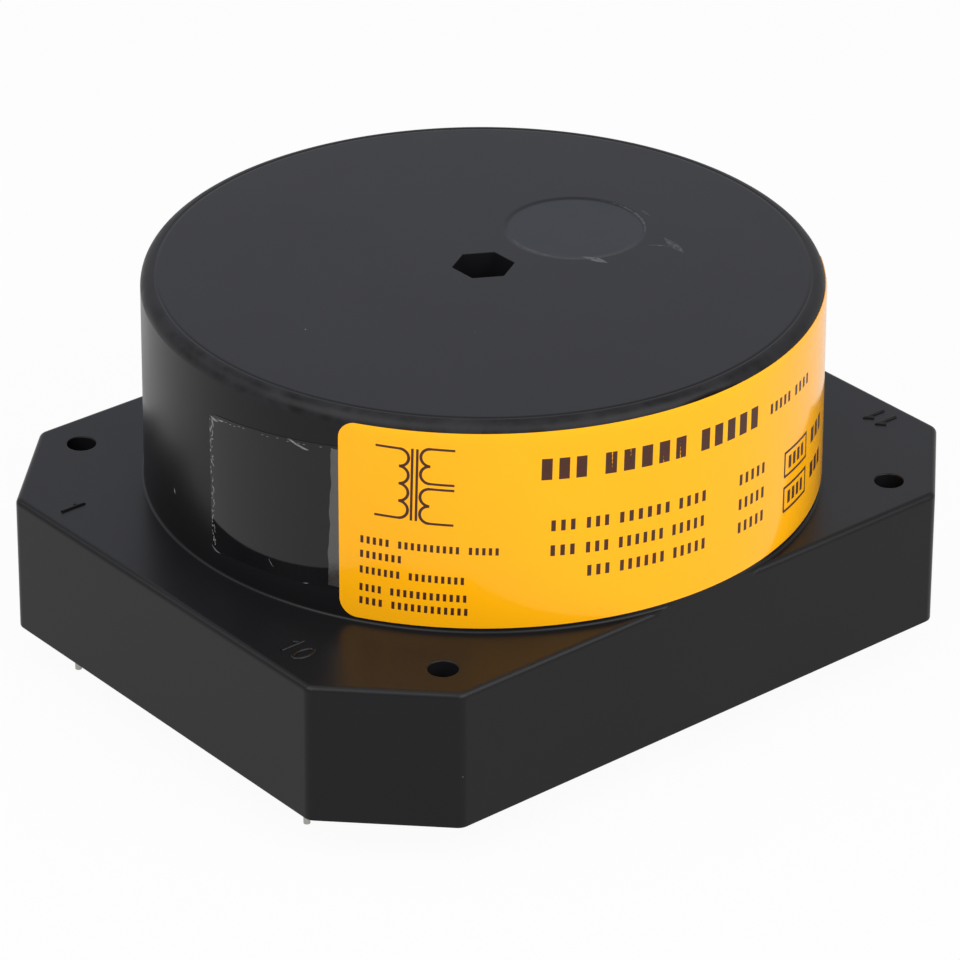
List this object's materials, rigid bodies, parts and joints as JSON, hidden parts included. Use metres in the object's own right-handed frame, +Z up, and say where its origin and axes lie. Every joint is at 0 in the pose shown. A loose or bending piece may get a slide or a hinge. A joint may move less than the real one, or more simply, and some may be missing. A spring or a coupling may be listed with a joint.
{
  "type": "pcb transformer",
  "caption": "Potted toroidal mains transformer for a circuit board: a round drum on a cut-corner skirt, with screw holes, pins and a wrapped rating label.",
  "frame": {"origin": "on the drum's axis, in the plane of the board that the skirt's rim stands on", "axes": "+Z up out of the drum's top, X across the two rows of pins with pins 1 to 10 on the -X side, Y along the rows"},
  "size_m": [0.1206, 0.1001, 0.0599],
  "materials": {
    "moulded_housing": "moulded satin, dark grey",
    "potting_resin": "cast, glossy black, assumed",
    "core_steel": "strip-wound, assumed",
    "polyester_tape": "clear yellowish tape, lapped, assumed",
    "outer_tape": "yellow tape, lapped, assumed",
    "enamelled_copper": "enamelled copper wire, assumed",
    "tinned_pin": "tinned, dull",
    "lead_insulation": "insulated lead, assumed",
    "label_film": "orange-yellow film, dark brown print",
    "clear_film": "clear glossy film"
  },
  "bodies": {
    "root": {"housing": "moulded_housing", "potting_resin": "potting_resin", "toroid_core": "core_steel", "core_insulation": "polyester_tape", "primary_winding": "enamelled_copper", "winding_insulation": "polyester_tape", "secondary_winding_a": "enamelled_copper", "secondary_winding_b": "enamelled_copper", "outer_insulation": "outer_tape", "rating_label": "label_film", "clear_film": "clear_film", "pin_1": "tinned_pin", "lead_1": "lead_insulation", "pin_10": "tinned_pin", "lead_10": "lead_insulation", "pin_11": "tinned_pin", "lead_11": "lead_insulation", "pin_12": "tinned_pin", "lead_12": "lead_insulation", "pin_19": "tinned_pin", "lead_19": "lead_insulation", "pin_20": "tinned_pin", "lead_20": "lead_insulation"}
  },
  "joints": []
}
